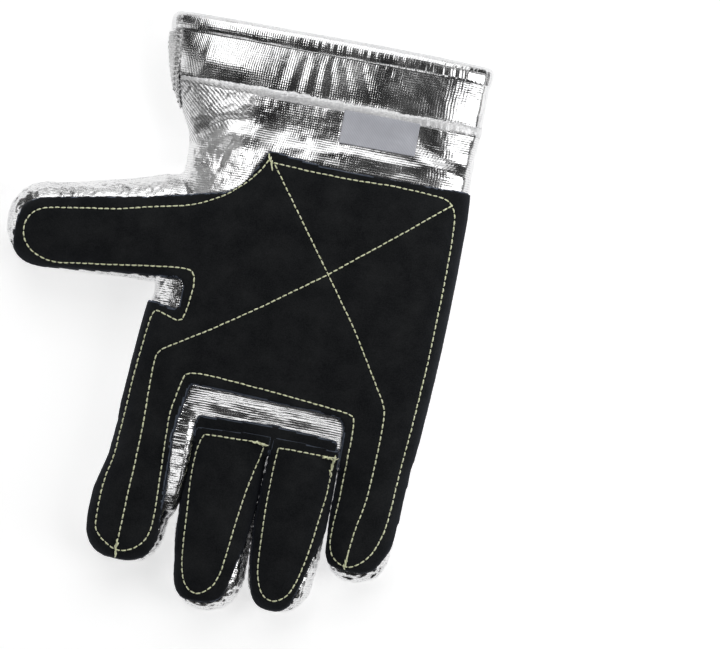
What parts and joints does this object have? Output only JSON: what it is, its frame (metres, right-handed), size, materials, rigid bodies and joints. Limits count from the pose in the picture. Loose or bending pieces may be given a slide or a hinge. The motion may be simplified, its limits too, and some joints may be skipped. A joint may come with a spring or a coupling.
{
  "type": "aluminized proximity glove",
  "caption": "Right-hand aluminized proximity glove with a long open cuff, black leather palm and finger facings, lying palm up on a surface.",
  "frame": {"origin": "middle of the glove's footprint, on the surface that its back lies on", "axes": "+Y from the fingertips towards the cuff, +X from the thumb's side towards the little finger's side, +Z out of the palm"},
  "size_m": [0.2428, 0.314, 0.0451],
  "materials": {
    "aluminized_cloth": "aluminium film on a woven cloth, mirror-bright with fine crinkles",
    "black_suede": "matt split leather with a short nap",
    "label_satin": "satin ribbon, blank"
  },
  "bodies": {
    "root": {"palm_shell": "aluminized_cloth", "back_shell": "aluminized_cloth", "index_finger": "aluminized_cloth", "middle_finger": "aluminized_cloth", "ring_finger": "aluminized_cloth", "little_finger": "aluminized_cloth", "thumb": "aluminized_cloth", "cuff_band": "aluminized_cloth", "welt": "aluminized_cloth", "hem_binding": "aluminized_cloth", "side_seam_binding": "aluminized_cloth", "knuckle_flap": "aluminized_cloth", "palm_patch": "black_suede", "middle_patch": "black_suede", "ring_patch": "black_suede", "crease_strip": "black_suede", "label": "label_satin"}
  },
  "joints": []
}
